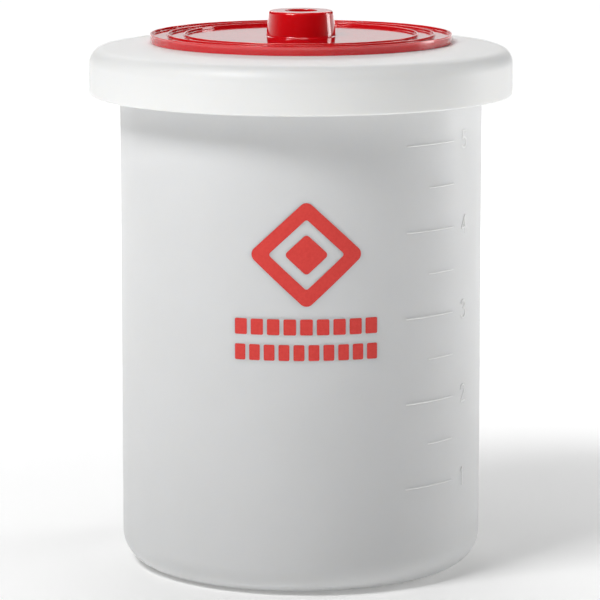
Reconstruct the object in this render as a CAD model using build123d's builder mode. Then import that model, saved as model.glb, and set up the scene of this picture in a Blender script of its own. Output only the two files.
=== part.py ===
from build123d import *
import os
from math import cos, radians, sin

# Waste bin in three loose pieces: a round graduated tank, a collar that caps the
# tank's rim and holds the mouth of a liner, and a lift-off lid with a hollow knob
# that drops into the collar's mouth.
# Millimetres, +Z up, origin at the centre of the base, front at -Y.

# ---------------------------------------------------------------- driving sizes
# Tank
tank_radius = 140.0
tank_height = 397.0
tank_wall = 4.0
base_corner = 24.0
foot_inner_radius = 106.0
kick_up_height = 12.0
kick_up_run = 7.0
kick_up_shift = 1.0
rim_radius = 157.0
rim_thickness = 4.5
rim_lip_drop = 13.0
rim_corner = 6.0

# Volume marks, raised on the outside of the tank: one long line for each unit of
# volume, a short one for each half, and a numeral beside each long line.
mark_zero_height = 13.0
mark_unit_height = 65.2
mark_units = 5
mark_line_width = 1.2
mark_stand = 0.45
mark_root = 1.0
mark_end_azimuth = 55.3
mark_long_azimuth = 34.5
mark_short_azimuth = 43.5
numeral_azimuth = 62.0
numeral_height = 13.0
numeral_stroke = 1.5

# Collar
collar_radius = 163.5
collar_wall = 3.5
collar_bottom = 366.8
collar_shoulder = 403.2
collar_corner = 12.5
land_height = 406.5
land_radius = 119.0
mouth_radius = 104.0
mouth_lip_bottom = 392.0
seat_ring_radius = 141.0
seat_ring_width = 4.0

# Lid
lid_radius = 116.7
ridge_top = 413.3
lid_floor = 411.3
lid_plate = 2.3
lid_rim_wall = 2.4
lid_rim_draft = 0.4
ridge_width = 1.4
outer_ridge_radius = 103.5
inner_ridge_radius = 90.6
plug_radius = 103.2
plug_bottom = 397.0
plug_wall = 2.0
knob_top = 430.7
knob_base_radius = 26.9
knob_top_radius = 24.9
knob_wall = 2.3
knob_hole_radius = 12.4
knob_hole_floor = 414.0
knob_hole_draft = 0.5

# Roundings of the mouldings' edges and roots
rim_edge_round = 0.4
fine_round = 0.5
plug_round = 0.8
small_round = 1.0
knob_root_round = 1.2
edge_round = 1.5
foot_round = 2.0
knob_round = 2.2
wall_root_round = 3.0
kick_up_round = 4.0
land_round = 10.0


def section(rows):
    """Draws the closed outline through rows of (radius, height, rounding)."""
    FilletPolyline(
        *[(radius, height) for radius, height, _ in rows],
        radius=[rounding for _, _, rounding in rows],
        close=True,
    )


# ---------------------------------------------------------------- tank
inside_radius = tank_radius - tank_wall
kick_up_radius = foot_inner_radius - kick_up_run
rim_lip_inner = rim_radius - tank_wall
rim_underside = tank_height - rim_thickness
rim_lip_bottom = tank_height - rim_lip_drop
inside_floor = kick_up_height + tank_wall

tank_section = (
    (0, kick_up_height, 0),
    (kick_up_radius, kick_up_height, kick_up_round),
    (foot_inner_radius, 0, foot_round),
    (tank_radius, 0, base_corner),
    (tank_radius, rim_underside, wall_root_round),
    (rim_lip_inner, rim_underside, edge_round),
    (rim_lip_inner, rim_lip_bottom, small_round),
    (rim_radius, rim_lip_bottom, edge_round),
    (rim_radius, tank_height, rim_corner),
    (inside_radius, tank_height, edge_round),
    (inside_radius, tank_wall, base_corner - tank_wall),
    (foot_inner_radius - kick_up_shift, tank_wall, wall_root_round),
    (kick_up_radius - kick_up_shift, inside_floor, kick_up_round),
    (0, inside_floor, 0),
)

# Numerals as strokes on a box one unit high: a straight stroke has two points,
# and a curved one has three, start, middle and end of its arc.
numeral_strokes = {
    1: (((0.10, 0.80), (0.28, 1.0)), ((0.28, 1.0), (0.28, 0.0))),
    2: (
        ((0.02, 0.76), (0.28, 1.0), (0.50, 0.62)),
        ((0.50, 0.62), (0.0, 0.0)),
        ((0.0, 0.0), (0.56, 0.0)),
    ),
    3: (
        ((0.02, 0.82), (0.48, 0.84), (0.22, 0.56)),
        ((0.22, 0.56), (0.54, 0.22), (0.0, 0.14)),
    ),
    4: (
        ((0.40, 0.0), (0.40, 1.0)),
        ((0.40, 1.0), (0.0, 0.30)),
        ((0.0, 0.30), (0.58, 0.30)),
    ),
    5: (
        ((0.50, 1.0), (0.08, 1.0)),
        ((0.08, 1.0), (0.05, 0.56)),
        ((0.05, 0.56), (0.54, 0.34), (0.0, 0.10)),
    ),
}
numeral_width = 0.56


def front_plane(azimuth, height):
    """Plane tangent to the tank, seen from outside: azimuth runs right from the front."""
    outward = Vector(sin(radians(azimuth)), -cos(radians(azimuth)), 0)
    across = Vector(cos(radians(azimuth)), sin(radians(azimuth)), 0)
    return Plane(
        origin=outward * (tank_radius - mark_root) + Vector(0, 0, height),
        x_dir=across,
        z_dir=outward,
    )


def stroke_path(points):
    """Draws one stroke of a numeral, centred on its box."""
    places = [
        ((x - numeral_width / 2) * numeral_height, (y - 0.5) * numeral_height)
        for x, y in points
    ]
    if len(places) == 2:
        Line(*places)
    else:
        ThreePointArc(*places)


with BuildPart() as numerals:
    for unit in range(1, mark_units + 1):
        height = mark_zero_height + unit * mark_unit_height
        for stroke in numeral_strokes[unit]:
            with BuildSketch(front_plane(numeral_azimuth, height)):
                with BuildLine():
                    stroke_path(stroke)
                trace(line_width=numeral_stroke)
            extrude(amount=mark_root + 2 * mark_stand)
    with BuildSketch():
        Circle(tank_radius + mark_stand)
    extrude(amount=tank_height, mode=Mode.INTERSECT)

with BuildPart() as tank:
    with BuildSketch(Plane.XZ):
        with BuildLine():
            section(tank_section)
        make_face()
    revolve(axis=Axis.Z)
    for half in range(2, 2 * mark_units + 1):
        start = mark_short_azimuth if half % 2 else mark_long_azimuth
        height = mark_zero_height + half * mark_unit_height / 2
        side = Vector(sin(radians(start)), -cos(radians(start)), 0)
        with BuildSketch(Plane(origin=(0, 0, height), x_dir=side, z_dir=side.cross(Vector(0, 0, 1)))):
            with Locations((tank_radius + (mark_stand - mark_root) / 2, 0)):
                Rectangle(mark_root + mark_stand, mark_line_width)
        revolve(axis=Axis.Z, revolution_arc=mark_end_azimuth - start)
    add(numerals.part)

# ---------------------------------------------------------------- collar
skirt_inner = collar_radius - collar_wall
shoulder_radius = collar_radius - collar_corner
inner_corner = collar_corner - collar_wall
land_underside = land_height - collar_wall
shoulder_underside = collar_shoulder - collar_wall
mouth_lip_outer = mouth_radius + collar_wall
crown_slope = (land_height - collar_shoulder) / (shoulder_radius - land_radius)


def crown_underside(radius):
    """Height of the crown's underside at a radius between the land and the shoulder."""
    return shoulder_underside + crown_slope * (shoulder_radius - radius)


seat_ring_outer = seat_ring_radius + seat_ring_width
corner_lift = crown_slope * collar_corner
collar_section = (
    (mouth_radius, mouth_lip_bottom, small_round),
    (mouth_lip_outer, mouth_lip_bottom, edge_round),
    (mouth_lip_outer, land_underside, foot_round),
    (land_radius, land_underside, land_round),
    (seat_ring_radius, crown_underside(seat_ring_radius), small_round),
    (seat_ring_radius, tank_height, fine_round),
    (seat_ring_outer, tank_height, fine_round),
    (seat_ring_outer, crown_underside(seat_ring_outer), small_round),
    (skirt_inner, crown_underside(skirt_inner), inner_corner),
    (skirt_inner, collar_bottom, small_round),
    (collar_radius, collar_bottom, edge_round),
    (collar_radius, collar_shoulder - corner_lift, collar_corner),
    (land_radius, land_height, land_round),
    (mouth_radius, land_height, edge_round),
)

with BuildPart() as collar:
    with BuildSketch(Plane.XZ):
        with BuildLine():
            section(collar_section)
        make_face()
    revolve(axis=Axis.Z)

# ---------------------------------------------------------------- lid
lid_underside = lid_floor - lid_plate
knob_under = knob_top - knob_wall
knob_hole_under = knob_hole_floor - knob_wall


def ridge(radius):
    """Corners of one upstanding ridge, from its inner foot out to its outer foot."""
    return (
        (radius - ridge_width, lid_floor, fine_round),
        (radius - ridge_width, ridge_top, fine_round),
        (radius, ridge_top, fine_round),
        (radius, lid_floor, fine_round),
    )


lid_section = (
    (0, knob_hole_floor, 0),
    (knob_hole_radius - knob_hole_draft, knob_hole_floor, edge_round),
    (knob_hole_radius, knob_top, small_round),
    (knob_top_radius, knob_top, knob_round),
    (knob_base_radius, lid_floor, knob_root_round),
    *ridge(inner_ridge_radius),
    *ridge(outer_ridge_radius),
    (lid_radius - ridge_width, lid_floor, fine_round),
    (lid_radius - ridge_width, ridge_top, fine_round),
    (lid_radius, ridge_top, fine_round),
    (lid_radius - lid_rim_draft, land_height, rim_edge_round),
    (lid_radius - lid_rim_wall, land_height, rim_edge_round),
    (lid_radius - lid_rim_wall, lid_underside, plug_round),
    (plug_radius, lid_underside, plug_round),
    (plug_radius, plug_bottom, plug_round),
    (plug_radius - plug_wall, plug_bottom, plug_round),
    (plug_radius - plug_wall, lid_underside, plug_round),
    (knob_base_radius - knob_wall, lid_underside, small_round),
    (knob_top_radius - knob_wall, knob_under, small_round),
    (knob_hole_radius + knob_wall, knob_under, small_round),
    (knob_hole_radius + knob_wall - knob_hole_draft, knob_hole_under, edge_round),
    (0, knob_hole_under, 0),
)

with BuildPart() as lid:
    with BuildSketch(Plane.XZ):
        with BuildLine():
            section(lid_section)
        make_face()
    revolve(axis=Axis.Z)

# ---------------------------------------------------------------- files
tank.part.label = "container"
collar.part.label = "collar"
lid.part.label = "lid"

os.makedirs("parts", exist_ok=True)
export_step(tank.part, "parts/container.step")
export_step(collar.part, "parts/collar.step")
export_step(lid.part, "parts/lid.step")
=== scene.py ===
import math

import bmesh
import bpy
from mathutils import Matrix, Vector


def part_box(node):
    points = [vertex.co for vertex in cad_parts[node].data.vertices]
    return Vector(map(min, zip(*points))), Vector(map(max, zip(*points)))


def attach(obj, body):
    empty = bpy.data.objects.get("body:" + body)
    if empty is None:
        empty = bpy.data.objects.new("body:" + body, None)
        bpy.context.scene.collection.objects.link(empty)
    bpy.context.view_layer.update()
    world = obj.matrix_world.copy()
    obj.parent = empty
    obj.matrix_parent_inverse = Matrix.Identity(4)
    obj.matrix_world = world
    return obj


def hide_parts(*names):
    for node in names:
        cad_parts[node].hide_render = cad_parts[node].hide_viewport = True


# Looks of the waste bin: tank, collar and lid as fine revolved mouldings, the raised
# volume marks and the printed mark on the tank's wall, the studio and the camera.
# Metres, +Z up, front at -Y. Azimuth runs right from the front, as in the CAD source.

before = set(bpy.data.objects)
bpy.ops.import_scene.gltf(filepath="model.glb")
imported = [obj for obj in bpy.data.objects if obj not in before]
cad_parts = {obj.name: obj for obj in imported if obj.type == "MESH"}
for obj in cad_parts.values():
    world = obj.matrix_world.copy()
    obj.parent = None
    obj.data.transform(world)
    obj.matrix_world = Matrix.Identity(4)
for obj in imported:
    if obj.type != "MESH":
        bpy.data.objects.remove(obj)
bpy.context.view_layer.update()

# ---------------------------------------------------------------- sizes
tank_low, tank_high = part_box("container")
collar_low, collar_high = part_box("collar")
lid_low, lid_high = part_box("lid")

# Tank
tank_height = tank_high.z - tank_low.z
rim_radius = tank_high.x
tank_radius = 0.140
tank_wall = 0.004
base_corner = 0.024
foot_inner_radius = 0.106
kick_up_height = 0.012
kick_up_radius = 0.099
kick_up_shift = 0.001
rim_thickness = 0.0045
rim_lip_drop = 0.013
rim_corner = 0.006

# Collar
collar_radius = collar_high.x
collar_bottom = collar_low.z
land_height = collar_high.z
collar_wall = 0.0035
collar_corner = 0.0125
collar_shoulder = 0.4032
land_radius = 0.119
mouth_radius = 0.104
mouth_lip_bottom = 0.392
seat_ring_radius = 0.141
seat_ring_width = 0.004

# Lid
lid_radius = lid_high.x
knob_top = lid_high.z
plug_bottom = lid_low.z
ridge_top = 0.4133
lid_floor = 0.4113
lid_plate = 0.0023
lid_rim_wall = 0.0024
lid_rim_draft = 0.0004
ridge_width = 0.0014
outer_ridge_radius = 0.1035
inner_ridge_radius = 0.0906
plug_radius = 0.1032
plug_wall = 0.002
knob_base_radius = 0.0269
knob_top_radius = 0.0249
knob_wall = 0.0023
knob_hole_radius = 0.0124
knob_hole_floor = 0.414
knob_hole_draft = 0.0005

# Roundings of the mouldings' edges and roots
rim_edge_round = 0.0004
fine_round = 0.0005
plug_round = 0.0008
small_round = 0.001
knob_root_round = 0.0012
edge_round = 0.0015
foot_round = 0.002
knob_round = 0.0022
wall_root_round = 0.003
kick_up_round = 0.004
land_round = 0.010

# Volume marks: a long line for each unit of volume, with its numeral, and a short one
# for each half. A numeral's aspect is the width of its box over its height.
mark_zero_height = 0.013
mark_unit_height = 0.0652
mark_units = 5
mark_line_width = 0.0012
mark_stand = 0.00045
mark_end_azimuth = 55.3
mark_long_azimuth = 34.5
mark_short_azimuth = 43.5
numeral_azimuth = 62.0
numeral_height = 0.013
numeral_aspect = 0.56
numeral_stroke = 0.0015

# Fineness of the revolved meshes: segments round the axis, turn of one step along a
# rounded edge, and greatest length of a face along a straight run
segments = 288
arc_step = math.radians(9)
row_step = 0.009


# ---------------------------------------------------------------- revolved mouldings
def rounded_outline(rows):
    """Points of the closed outline through rows of (radius, height, rounding), with outward normals."""
    corners = [Vector(row[:2]) for row in rows]
    turning = sum(a.x * b.y - b.x * a.y for a, b in zip(corners, corners[1:] + corners[:1]))
    side = 1 if turning > 0 else -1
    outline = []
    for index, (radius, height, rounding) in enumerate(rows):
        corner = corners[index]
        before = (corner - corners[index - 1]).normalized()
        after = (corners[(index + 1) % len(rows)] - corner).normalized()
        if rounding == 0:
            along = after if before.x == 0 else before
            outline.append((corner, side * Vector((along.y, -along.x))))
            continue
        turn = math.atan2(before.x * after.y - before.y * after.x, before.dot(after))
        reach = rounding * math.tan(abs(turn) / 2)
        inward = math.copysign(1, turn) * Vector((-before.y, before.x))
        start = corner - before * reach
        centre = start + inward * rounding
        steps = max(2, math.ceil(abs(turn) / arc_step))
        for step in range(steps + 1):
            angle = turn * step / steps
            spoke = -inward * rounding
            spoke = Vector((
                spoke.x * math.cos(angle) - spoke.y * math.sin(angle),
                spoke.x * math.sin(angle) + spoke.y * math.cos(angle),
            ))
            facing = side * math.copysign(1, turn)
            outline.append((centre + spoke, spoke.normalized() * facing))
    return outline


def with_rows(outline):
    """The same outline with points added along its long straight runs, none along the axis."""
    filled = []
    for (point, normal), (after, after_normal) in zip(outline, outline[1:] + outline[:1]):
        filled.append((point, normal))
        run = after - point
        if point.x == 0 and after.x == 0:
            continue
        extra = math.floor(run.length / row_step)
        for step in range(1, extra + 1):
            share = step / (extra + 1)
            filled.append((point + run * share, normal.lerp(after_normal, share).normalized()))
    return filled


def moulding(name, rows):
    """A closed revolved mesh with exact smooth normals from its rounded outline."""
    outline = with_rows(rounded_outline(rows))
    vertices, normals, rings = [], [], []
    for point, normal in outline:
        count = 1 if point.x == 0 else segments
        rings.append(range(len(vertices), len(vertices) + count))
        for segment in range(count):
            turn = 2 * math.pi * segment / segments
            vertices.append((point.x * math.sin(turn), -point.x * math.cos(turn), point.y))
            normals.append((normal.x * math.sin(turn), -normal.x * math.cos(turn), normal.y))
    faces = []
    for ring, after in zip(rings, rings[1:] + rings[:1]):
        for segment in range(segments):
            following = (segment + 1) % segments
            if len(ring) > 1 and len(after) > 1:
                faces.append((ring[segment], ring[following], after[following], after[segment]))
            elif len(ring) > 1:
                faces.append((ring[segment], ring[following], after[0]))
            elif len(after) > 1:
                faces.append((ring[0], after[following], after[segment]))
    return new_piece(name, vertices, faces, normals)


def new_piece(name, vertices, faces, normals=None):
    """A smooth-shaded object from vertices and faces, its faces turned outwards."""
    mesh = bpy.data.meshes.new(name)
    mesh.from_pydata(vertices, [], faces)
    builder = bmesh.new()
    builder.from_mesh(mesh)
    bmesh.ops.recalc_face_normals(builder, faces=builder.faces)
    builder.to_mesh(mesh)
    builder.free()
    mesh.shade_smooth()
    if normals:
        mesh.normals_split_custom_set_from_vertices(normals)
    piece = bpy.data.objects.new(name, mesh)
    bpy.context.scene.collection.objects.link(piece)
    return piece


def tank_rows():
    """The tank's section: ring foot, straight wall, rolled rim and the same shape inside."""
    inside_radius = tank_radius - tank_wall
    underside = tank_height - rim_thickness
    lip_inner = rim_radius - tank_wall
    lip_bottom = tank_height - rim_lip_drop
    inside_floor = kick_up_height + tank_wall
    return (
        (0, kick_up_height, 0),
        (kick_up_radius, kick_up_height, kick_up_round),
        (foot_inner_radius, 0, foot_round),
        (tank_radius, 0, base_corner),
        (tank_radius, underside, wall_root_round),
        (lip_inner, underside, edge_round),
        (lip_inner, lip_bottom, small_round),
        (rim_radius, lip_bottom, edge_round),
        (rim_radius, tank_height, rim_corner),
        (inside_radius, tank_height, edge_round),
        (inside_radius, tank_wall, base_corner - tank_wall),
        (foot_inner_radius - kick_up_shift, tank_wall, wall_root_round),
        (kick_up_radius - kick_up_shift, inside_floor, kick_up_round),
        (0, inside_floor, 0),
    )


def collar_rows():
    """The collar's section: mouth lip, seat ring, deep skirt, shoulder and raised land."""
    skirt_inner = collar_radius - collar_wall
    shoulder_radius = collar_radius - collar_corner
    land_underside = land_height - collar_wall
    slope = (land_height - collar_shoulder) / (shoulder_radius - land_radius)
    seat_outer = seat_ring_radius + seat_ring_width

    def underside(radius):
        return collar_shoulder - collar_wall + slope * (shoulder_radius - radius)

    return (
        (mouth_radius, mouth_lip_bottom, small_round),
        (mouth_radius + collar_wall, mouth_lip_bottom, edge_round),
        (mouth_radius + collar_wall, land_underside, foot_round),
        (land_radius, land_underside, land_round),
        (seat_ring_radius, underside(seat_ring_radius), small_round),
        (seat_ring_radius, tank_height, fine_round),
        (seat_outer, tank_height, fine_round),
        (seat_outer, underside(seat_outer), small_round),
        (skirt_inner, underside(skirt_inner), collar_corner - collar_wall),
        (skirt_inner, collar_bottom, small_round),
        (collar_radius, collar_bottom, edge_round),
        (collar_radius, collar_shoulder - slope * collar_corner, collar_corner),
        (land_radius, land_height, land_round),
        (mouth_radius, land_height, edge_round),
    )


def ridge_rows(radius):
    """Corners of one upstanding ridge of the lid, from its inner foot to its outer foot."""
    return (
        (radius - ridge_width, lid_floor, fine_round),
        (radius - ridge_width, ridge_top, fine_round),
        (radius, ridge_top, fine_round),
        (radius, lid_floor, fine_round),
    )


def lid_rows():
    """The lid's section: knob recess, hollow knob, ridges, rim, plug and the underside."""
    underside = lid_floor - lid_plate
    knob_under = knob_top - knob_wall
    hole_under = knob_hole_floor - knob_wall
    return (
        (0, knob_hole_floor, 0),
        (knob_hole_radius - knob_hole_draft, knob_hole_floor, edge_round),
        (knob_hole_radius, knob_top, small_round),
        (knob_top_radius, knob_top, knob_round),
        (knob_base_radius, lid_floor, knob_root_round),
        *ridge_rows(inner_ridge_radius),
        *ridge_rows(outer_ridge_radius),
        (lid_radius - ridge_width, lid_floor, fine_round),
        (lid_radius - ridge_width, ridge_top, fine_round),
        (lid_radius, ridge_top, fine_round),
        (lid_radius - lid_rim_draft, land_height, rim_edge_round),
        (lid_radius - lid_rim_wall, land_height, rim_edge_round),
        (lid_radius - lid_rim_wall, underside, plug_round),
        (plug_radius, underside, plug_round),
        (plug_radius, plug_bottom, plug_round),
        (plug_radius - plug_wall, plug_bottom, plug_round),
        (plug_radius - plug_wall, underside, plug_round),
        (knob_base_radius - knob_wall, underside, small_round),
        (knob_top_radius - knob_wall, knob_under, small_round),
        (knob_hole_radius + knob_wall, knob_under, small_round),
        (knob_hole_radius + knob_wall - knob_hole_draft, hole_under, edge_round),
        (0, hole_under, 0),
    )


# ---------------------------------------------------------------- marks on the wall
def on_wall(across, height, radius):
    """The point at a distance across the wall from its middle, measured on the tank's radius."""
    azimuth = across / tank_radius
    return Vector((radius * math.sin(azimuth), -radius * math.cos(azimuth), height))


def arc_through(start, middle, end, steps=14):
    """Points along the circle's arc from start through middle to end."""
    ax, ay = middle[0] - start[0], middle[1] - start[1]
    bx, by = end[0] - start[0], end[1] - start[1]
    cross = 2 * (ax * by - ay * bx)
    a2, b2 = ax * ax + ay * ay, bx * bx + by * by
    centre = (start[0] + (by * a2 - ay * b2) / cross, start[1] + (ax * b2 - bx * a2) / cross)
    radius = math.hypot(start[0] - centre[0], start[1] - centre[1])
    angles = [math.atan2(p[1] - centre[1], p[0] - centre[0]) for p in (start, middle, end)]
    sweep = (angles[2] - angles[0]) % (2 * math.pi)
    if (angles[1] - angles[0]) % (2 * math.pi) > sweep:
        sweep -= 2 * math.pi
    return [
        (
            centre[0] + radius * math.cos(angles[0] + sweep * step / steps),
            centre[1] + radius * math.sin(angles[0] + sweep * step / steps),
        )
        for step in range(steps + 1)
    ]


def bead(builder, path, width, stand, round_steps=5, sides=12, tip_size=0.02):
    """Adds a raised bead with rounded ends along a path of (across, height) points on the wall."""
    places = [Vector(place) for place in path]
    first = (places[1] - places[0]).normalized()
    last = (places[-1] - places[-2]).normalized()
    stations = []
    for step in range(round_steps):
        lean = math.pi / 2 * (1 - step / round_steps)
        stations.append((places[0] - first * math.sin(lean) * width / 2, first, math.cos(lean)))
    for index, place in enumerate(places):
        before = places[max(index - 1, 0)]
        after = places[min(index + 1, len(places) - 1)]
        stations.append((place, (after - before).normalized(), 1))
    for step in range(1, round_steps + 1):
        lean = math.pi / 2 * step / round_steps
        stations.append((places[-1] + last * math.sin(lean) * width / 2, last, math.cos(lean)))
    rings = []
    for place, along, size in stations:
        normal = Vector((-along.y, along.x))
        ring = []
        for side in range(sides):
            turn = 2 * math.pi * side / sides
            spot = place + normal * (max(size, tip_size) * width / 2 * math.cos(turn))
            rise = tank_radius + max(size, tip_size) * stand * math.sin(turn)
            ring.append(builder.verts.new(on_wall(spot.x, spot.y, rise)))
        rings.append(ring)
    for ring, after in zip(rings, rings[1:]):
        for side in range(sides):
            following = (side + 1) % sides
            builder.faces.new((ring[side], ring[following], after[following], after[side]))
    builder.faces.new(rings[0])
    builder.faces.new(rings[-1])


# Numerals as strokes on a box one unit high: a straight stroke has two points,
# and a curved one has three, start, middle and end of its arc.
numeral_strokes = {
    1: (((0.10, 0.80), (0.28, 1.0)), ((0.28, 1.0), (0.28, 0.0))),
    2: (
        ((0.02, 0.76), (0.28, 1.0), (0.50, 0.62)),
        ((0.50, 0.62), (0.0, 0.0)),
        ((0.0, 0.0), (0.56, 0.0)),
    ),
    3: (
        ((0.02, 0.82), (0.48, 0.84), (0.22, 0.56)),
        ((0.22, 0.56), (0.54, 0.22), (0.0, 0.14)),
    ),
    4: (
        ((0.40, 0.0), (0.40, 1.0)),
        ((0.40, 1.0), (0.0, 0.30)),
        ((0.0, 0.30), (0.58, 0.30)),
    ),
    5: (
        ((0.50, 1.0), (0.08, 1.0)),
        ((0.08, 1.0), (0.05, 0.56)),
        ((0.05, 0.56), (0.54, 0.34), (0.0, 0.10)),
    ),
}


def volume_marks():
    """The raised lines and numerals of the tank's scale, as beads sunk halfway into its wall."""
    builder = bmesh.new()
    for half in range(2, 2 * mark_units + 1):
        start = mark_short_azimuth if half % 2 else mark_long_azimuth
        height = mark_zero_height + half * mark_unit_height / 2
        count = math.ceil(mark_end_azimuth - start)
        line = [
            (tank_radius * math.radians(start + (mark_end_azimuth - start) * step / count), height)
            for step in range(count + 1)
        ]
        bead(builder, line, mark_line_width, mark_stand)
    middle = tank_radius * math.radians(numeral_azimuth)
    for unit, strokes in numeral_strokes.items():
        height = mark_zero_height + unit * mark_unit_height
        for stroke in strokes:
            points = stroke if len(stroke) == 2 else arc_through(*stroke)
            path = [
                (
                    middle + (x - numeral_aspect / 2) * numeral_height,
                    height + (y - 0.5) * numeral_height,
                )
                for x, y in points
            ]
            bead(builder, path, numeral_stroke, mark_stand)
    bmesh.ops.recalc_face_normals(builder, faces=builder.faces)
    mesh = bpy.data.meshes.new("volume_marks")
    builder.to_mesh(mesh)
    builder.free()
    mesh.shade_smooth()
    marks = bpy.data.objects.new("volume_marks", mesh)
    bpy.context.scene.collection.objects.link(marks)
    return marks


# ---------------------------------------------------------------- printed mark
# A diamond ring round a small solid diamond, its heart, stands over the rows of blocks,
# each given by its height and its number of blocks.
print_middle = 0.0040
emblem_height = 0.2613
emblem_width = 0.088
emblem_tall = 0.082
emblem_line = 0.0105
emblem_outer_round = 0.006
emblem_inner_round = 0.002
heart_share = 0.38
heart_round = 0.003
block_rows = ((0.2069, 9), (0.1876, 10))
block_row_width = 0.1087
block_height = 0.0120
block_gap = 0.0030
block_round = 0.001
film_out = 0.00006
film_in = 0.00005
centre_share = 0.02


def rounded_loop(middle, width, height, rounding, diamond=False, per_side=16, per_corner=6):
    """A closed loop with rounded corners round a box, or round the diamond that just fits in it."""
    half_width, half_height = width / 2, height / 2
    if diamond:
        corners = ((half_width, 0), (0, half_height), (-half_width, 0), (0, -half_height))
    else:
        corners = (
            (half_width, half_height),
            (-half_width, half_height),
            (-half_width, -half_height),
            (half_width, -half_height),
        )
    loop = []
    for index, corner in enumerate(corners):
        here = Vector(corner)
        before = (here - Vector(corners[index - 1])).normalized()
        after = (Vector(corners[(index + 1) % 4]) - here).normalized()
        turn = before.angle(after)
        reach = rounding * math.tan(turn / 2)
        left = Vector((-before.y, before.x))
        centre = here - before * reach + left * rounding
        for step in range(per_corner + 1):
            angle = turn * step / per_corner
            spoke = Vector((
                -left.x * math.cos(angle) + left.y * math.sin(angle),
                -left.x * math.sin(angle) - left.y * math.cos(angle),
            ))
            loop.append(Vector(middle) + centre + spoke * rounding)
        following = Vector(corners[(index + 1) % 4])
        start, end = here + after * reach, following - after * reach
        for step in range(1, per_side):
            loop.append(Vector(middle) + start.lerp(end, step / per_side))
    return loop


def film(builder, inner, outer, across=6, filled=False):
    """Adds a thin closed film on the wall between two loops, with or without the inner one filled."""
    layers = []
    for radius in (tank_radius + film_out, tank_radius - film_in):
        loops = []
        for step in range(across + 1):
            share = step / across
            loops.append([
                builder.verts.new(on_wall(*near.lerp(far, share), radius))
                for near, far in zip(inner, outer)
            ])
        layers.append(loops)
    count = len(outer)
    for loops in layers:
        for near, far in zip(loops, loops[1:]):
            for index in range(count):
                following = (index + 1) % count
                builder.faces.new((near[index], near[following], far[following], far[index]))
    if filled:
        for loops in layers:
            builder.faces.new(loops[0])
    open_edges = (-1,) if filled else (0, -1)
    for edge in open_edges:
        front, back = layers[0][edge], layers[1][edge]
        for index in range(count):
            following = (index + 1) % count
            builder.faces.new((front[index], front[following], back[following], back[index]))


def patch(builder, middle, edge, across=6):
    """Adds a film over the whole inside of a loop, in rings round a small face at its middle."""
    centre = [Vector(middle).lerp(point, centre_share) for point in edge]
    film(builder, centre, edge, across, filled=True)


def front_print():
    """Plain stand-in for the printed mark: a diamond in a diamond over two rows of blocks."""
    builder = bmesh.new()
    middle = (print_middle, emblem_height)
    slant = math.hypot(emblem_width, emblem_tall)
    inner_width = emblem_width - 2 * emblem_line * slant / emblem_tall
    inner_tall = emblem_tall - 2 * emblem_line * slant / emblem_width
    outer = rounded_loop(middle, emblem_width, emblem_tall, emblem_outer_round, diamond=True)
    inner = rounded_loop(middle, inner_width, inner_tall, emblem_inner_round, diamond=True)
    film(builder, inner, outer)
    heart_width, heart_tall = emblem_width * heart_share, emblem_tall * heart_share
    heart = rounded_loop(middle, heart_width, heart_tall, heart_round, diamond=True)
    patch(builder, middle, heart)
    for height, blocks in block_rows:
        width = (block_row_width - (blocks - 1) * block_gap) / blocks
        first = print_middle - block_row_width / 2 + width / 2
        for block in range(blocks):
            spot = (first + block * (width + block_gap), height)
            edge = rounded_loop(spot, width, block_height, block_round, per_side=6, per_corner=3)
            patch(builder, spot, edge, across=4)
    bmesh.ops.recalc_face_normals(builder, faces=builder.faces)
    mesh = bpy.data.meshes.new("front_print")
    builder.to_mesh(mesh)
    builder.free()
    ink_film = bpy.data.objects.new("front_print", mesh)
    bpy.context.scene.collection.objects.link(ink_film)
    return ink_film


# ---------------------------------------------------------------- materials
# Places of the colour sockets on a Mix node, whose sockets share their names
colour_a = 6
colour_b = 7
colour_result = 2


class Nodes:
    """A material's node tree with short ways to add and join nodes."""

    def __init__(self, name):
        self.material = bpy.data.materials.new(name)
        self.material.use_nodes = True
        self.tree = self.material.node_tree
        self.shader = self.tree.nodes["Principled BSDF"]
        self.place = self.add("ShaderNodeTexCoord").outputs["Object"]

    def add(self, kind, **settings):
        node = self.tree.nodes.new(kind)
        for key, value in settings.items():
            setattr(node, key, value)
        return node

    def join(self, source, target):
        self.tree.links.new(source, target)

    def stretched(self, scale):
        mapping = self.add("ShaderNodeMapping")
        mapping.inputs["Scale"].default_value = scale
        self.join(self.place, mapping.inputs["Vector"])
        return mapping.outputs["Vector"]

    def noise(self, scale, detail=2.0, rough=0.5, stretch=None):
        node = self.add("ShaderNodeTexNoise")
        self.join(self.stretched(stretch) if stretch else self.place, node.inputs["Vector"])
        node.inputs["Scale"].default_value = scale
        node.inputs["Detail"].default_value = detail
        node.inputs["Roughness"].default_value = rough
        return node.outputs["Fac"]

    def between(self, value, low, high, from_low=0.3, from_high=0.7):
        node = self.add("ShaderNodeMapRange")
        self.join(value, node.inputs["Value"])
        node.inputs["From Min"].default_value = from_low
        node.inputs["From Max"].default_value = from_high
        node.inputs["To Min"].default_value = low
        node.inputs["To Max"].default_value = high
        return node.outputs["Result"]

    def colours(self, value, first, second):
        node = self.add("ShaderNodeMix", data_type="RGBA")
        self.join(value, node.inputs["Factor"])
        node.inputs[colour_a].default_value = (*first, 1)
        node.inputs[colour_b].default_value = (*second, 1)
        return node.outputs[colour_result]

    def bump(self, height, distance, strength=1.0, base=None):
        node = self.add("ShaderNodeBump")
        node.inputs["Distance"].default_value = distance
        node.inputs["Strength"].default_value = strength
        self.join(height, node.inputs["Height"])
        if base:
            self.join(base, node.inputs["Normal"])
        return node.outputs["Normal"]

    def set(self, **values):
        for key, value in values.items():
            self.shader.inputs[key.replace("_", " ")].default_value = value


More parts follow.
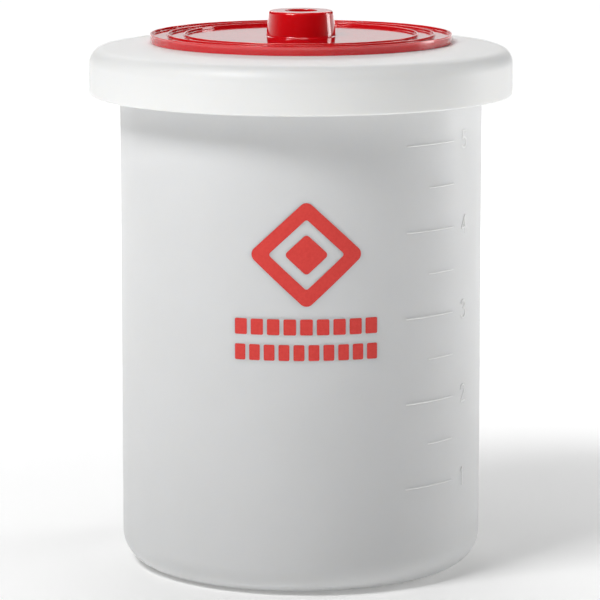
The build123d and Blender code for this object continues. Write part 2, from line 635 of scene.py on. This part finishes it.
def moulded_polyethylene(name, light, dark, rough, spread_weight, spread, painted_glow=0.0):
    """Natural polyethylene with faint clouds and flow streaks: light spreads inside it.

    The last argument is a painted glow: a little constant emitted light that stands in for the light
    which shines through a thin place.
    """
    nodes = Nodes(name)
    streaks = nodes.noise(1.0, detail=1.0, stretch=(38.0, 38.0, 2.2))
    clouds = nodes.noise(14.0, detail=3.0)
    skin = nodes.noise(700.0, detail=1.0)
    waves = nodes.noise(9.0, detail=1.0)
    tint = nodes.colours(nodes.between(clouds, 0.0, 1.0), light, dark)
    nodes.join(tint, nodes.shader.inputs["Base Color"])
    finish = nodes.between(streaks, *rough, from_low=0.1, from_high=0.9)
    nodes.join(finish, nodes.shader.inputs["Roughness"])
    shape = nodes.bump(waves, 0.0001)
    shape = nodes.bump(skin, 0.000003, base=shape)
    nodes.join(shape, nodes.shader.inputs["Normal"])
    nodes.set(IOR=1.5, Subsurface_Weight=spread_weight, Subsurface_Scale=spread)
    nodes.set(Subsurface_Radius=(1.0, 0.97, 0.92))
    # Painted glow: constant white emission, though the plastic is no lamp.
    nodes.set(Emission_Color=(1.0, 1.0, 1.0, 1.0), Emission_Strength=painted_glow)
    return nodes.material


def red_plastic():
    """Glossy moulded red plastic, a little wavy, with faint wiping marks in its gloss."""
    nodes = Nodes("glossy_red_plastic")
    clouds = nodes.noise(22.0, detail=2.0)
    wiped = nodes.noise(1.0, detail=4.0, stretch=(30.0, 160.0, 60.0))
    grain = nodes.noise(1400.0, detail=2.0)
    light, dark = (0.80, 0.008, 0.014), (0.76, 0.006, 0.012)
    tint = nodes.colours(nodes.between(clouds, 0.0, 1.0), light, dark)
    nodes.join(tint, nodes.shader.inputs["Base Color"])
    nodes.join(nodes.between(wiped, 0.07, 0.13), nodes.shader.inputs["Roughness"])
    shape = nodes.bump(clouds, 0.00010)
    shape = nodes.bump(grain, 0.000002, base=shape)
    nodes.join(shape, nodes.shader.inputs["Normal"])
    nodes.set(IOR=1.5, Subsurface_Weight=0.6, Subsurface_Scale=0.002)
    nodes.set(Subsurface_Radius=(1.0, 0.1, 0.1))
    nodes.set(Coat_Weight=0.65, Coat_Roughness=0.05, Coat_IOR=1.5)
    return nodes.material


def screen_ink():
    """Screen-printed red ink with slightly uneven cover."""
    nodes = Nodes("screen_ink")
    cover = nodes.noise(420.0, detail=4.0, rough=0.65)
    light, dark = (0.80, 0.045, 0.034), (0.73, 0.034, 0.026)
    tint = nodes.colours(nodes.between(cover, 0.0, 1.0), light, dark)
    nodes.join(tint, nodes.shader.inputs["Base Color"])
    nodes.join(nodes.between(cover, 0.42, 0.6), nodes.shader.inputs["Roughness"])
    nodes.join(nodes.bump(cover, 0.00001), nodes.shader.inputs["Normal"])
    return nodes.material


# ---------------------------------------------------------------- studio
def studio_floor(half=20.0, near=0.17, far=1.7, near_glow=0.14, far_glow=1.0):
    """A plain near-white floor, far larger than the view, that glows white away from the bin."""
    corners = [(x * half, y * half, 0) for x, y in ((-1, -1), (1, -1), (1, 1), (-1, 1))]
    mesh = bpy.data.meshes.new("floor")
    mesh.from_pydata(corners, [], [(0, 1, 2, 3)])
    floor = bpy.data.objects.new("floor", mesh)
    bpy.context.scene.collection.objects.link(floor)
    nodes = Nodes("floor_paper")
    paper = nodes.noise(3.0, detail=1.0)
    light, dark = (0.95, 0.95, 0.95), (0.94, 0.94, 0.94)
    tint = nodes.colours(nodes.between(paper, 0.0, 1.0), light, dark)
    nodes.join(tint, nodes.shader.inputs["Base Color"])
    away = nodes.add("ShaderNodeVectorMath", operation="LENGTH")
    nodes.join(nodes.place, away.inputs[0])
    glow = nodes.between(away.outputs["Value"], near_glow, far_glow, from_low=near, from_high=far)
    nodes.join(glow, nodes.shader.inputs["Emission Strength"])
    nodes.set(Roughness=0.9, Emission_Color=(1, 1, 1, 1), Specular_IOR_Level=0.0)
    mesh.materials.append(nodes.material)
    return floor


def softbox(name, azimuth, elevation, distance, width, height, radiance, aim=Vector((0, 0, 0.25))):
    """A rectangular light of a given radiance, aimed at the bin from an azimuth and elevation."""
    light = bpy.data.lights.new(name, "AREA")
    light.shape = "RECTANGLE"
    light.size = width
    light.size_y = height
    light.energy = radiance * math.pi * width * height
    lamp = bpy.data.objects.new(name, light)
    turn, lift = math.radians(azimuth), math.radians(elevation)
    level = math.cos(lift)
    out = Vector((math.sin(turn) * level, -math.cos(turn) * level, math.sin(lift)))
    lamp.location = aim + out * distance
    lamp.rotation_mode = "QUATERNION"
    lamp.rotation_quaternion = out.to_track_quat("Z", "Y")
    lamp.visible_camera = False
    bpy.context.scene.collection.objects.link(lamp)
    return lamp


def studio_air(white_below=-0.02, black_above=0.085):
    """Surrounding light that is white at the horizon and fades out a little above it."""
    world = bpy.data.worlds.new("studio_air")
    bpy.context.scene.world = world
    world.use_nodes = True
    tree = world.node_tree
    place = tree.nodes.new("ShaderNodeTexCoord")
    split = tree.nodes.new("ShaderNodeSeparateXYZ")
    ramp = tree.nodes.new("ShaderNodeMapRange")
    ramp.interpolation_type = "SMOOTHSTEP"
    ramp.inputs["From Min"].default_value = white_below
    ramp.inputs["From Max"].default_value = black_above
    ramp.inputs["To Min"].default_value = 1.0
    ramp.inputs["To Max"].default_value = 0.0
    tree.links.new(place.outputs["Generated"], split.inputs["Vector"])
    tree.links.new(split.outputs["Z"], ramp.inputs["Value"])
    tree.links.new(ramp.outputs["Result"], tree.nodes["Background"].inputs["Strength"])
    tree.nodes["Background"].inputs["Color"].default_value = (1.0, 1.0, 1.0, 1.0)
    return world


def camera(location, tilt, focal_length):
    """A long lens in front of the bin, a little above it and tilted down by so many degrees."""
    lens = bpy.data.cameras.new("camera")
    lens.sensor_width = 36.0
    lens.lens = focal_length
    viewer = bpy.data.objects.new("camera", lens)
    viewer.location = location
    viewer.rotation_euler = (math.radians(90 - tilt), 0, 0)
    bpy.context.scene.collection.objects.link(viewer)
    bpy.context.scene.camera = viewer
    return viewer


# ---------------------------------------------------------------- the bin
tank = moulding("tank_moulding", tank_rows())
collar = moulding("collar_moulding", collar_rows())
lid = moulding("lid_moulding", lid_rows())
marks = volume_marks()
ink_film = front_print()

tank_plastic = moulded_polyethylene(
    "natural_polyethylene",
    light=(0.868, 0.873, 0.863),
    dark=(0.848, 0.853, 0.840),
    rough=(0.39, 0.43),
    spread_weight=1.0,
    spread=0.010,
)
collar_plastic = moulded_polyethylene(
    "collar_polyethylene",
    light=(0.87, 0.875, 0.868),
    dark=(0.86, 0.865, 0.857),
    rough=(0.43, 0.47),
    spread_weight=1.0,
    spread=0.003,
)
# The marks are thin, so the light that spreads in the wall would show through them; to stand in for
# that light their colour is painted lighter than the tank's plastic and they get a faint painted glow.
mark_plastic = moulded_polyethylene(
    "mark_polyethylene",
    light=(0.97, 0.975, 0.965),
    dark=(0.96, 0.965, 0.955),
    rough=(0.30, 0.36),
    spread_weight=0.0,
    spread=0.001,
    painted_glow=0.035,
)
red = red_plastic()
ink = screen_ink()

for piece, material, body, finish in (
    (tank, tank_plastic, "bin", "translucent_body"),
    (marks, mark_plastic, "bin", "translucent_body"),
    (ink_film, ink, "bin", "print_ink"),
    (collar, collar_plastic, "collar", "translucent_collar"),
    (lid, red, "lid", "red_lid"),
):
    piece.data.materials.append(material)
    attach(piece, body)

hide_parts("container")
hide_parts("collar")
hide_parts("lid")

# ---------------------------------------------------------------- floor, lights, camera
bpy.context.scene.view_settings.view_transform = "Standard"
studio_floor()
studio_air()
# Azimuth, elevation, distance, width, height and radiance of each softbox
softbox("key", -46, 50, 2.6, 0.9, 0.65, 21.3)
softbox("top", 0, 88, 2.6, 1.0, 1.0, 2.6)
softbox("right_back", 111, 10, 2.6, 0.8, 1.8, 4.8)
softbox("back", 180, 12, 3.0, 2.4, 1.4, 0.70)
softbox("back_high", 180, 35, 2.6, 2.4, 1.0, 2.3)
camera(location=(-0.0008, -2.7253, 0.6608), tilt=9.511, focal_length=212.2)
